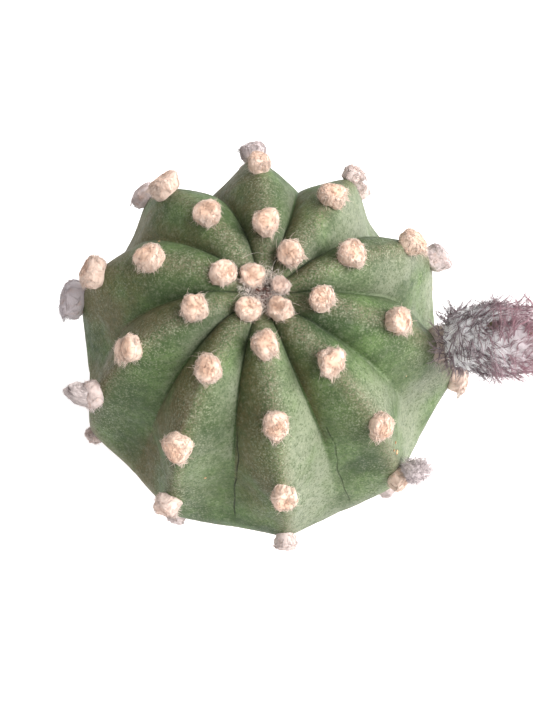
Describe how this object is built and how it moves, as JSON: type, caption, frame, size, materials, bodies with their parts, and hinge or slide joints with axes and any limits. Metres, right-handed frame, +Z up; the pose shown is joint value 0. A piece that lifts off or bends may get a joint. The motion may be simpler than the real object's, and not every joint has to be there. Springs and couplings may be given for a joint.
{
  "type": "potted echinopsis cactus",
  "caption": "Ribbed globe cactus with woolly spineless areoles and a hairy flower bud, standing in gritty soil in a plain turned clay pot.",
  "frame": {"origin": "middle of the pot's flat underside, on the pot's axis", "axes": "+Z up along the pot's axis; the flower bud grows towards +X; a rib points close to +Y"},
  "size_m": [0.1189, 0.1026, 0.1462],
  "materials": {
    "clay": "matt unglazed terracotta with a pale lime bloom",
    "soil": "coarse gritty potting soil",
    "green_skin": "matt green skin with a fine pale scurf",
    "bud_wool": "grey mauve hairs over a green brown tube",
    "areole_wool": "cream to grey felted wool"
  },
  "bodies": {
    "root": {"pot": "clay", "soil": "soil", "cactus_body": "green_skin", "flower_bud": "bud_wool"}
  },
  "joints": []
}
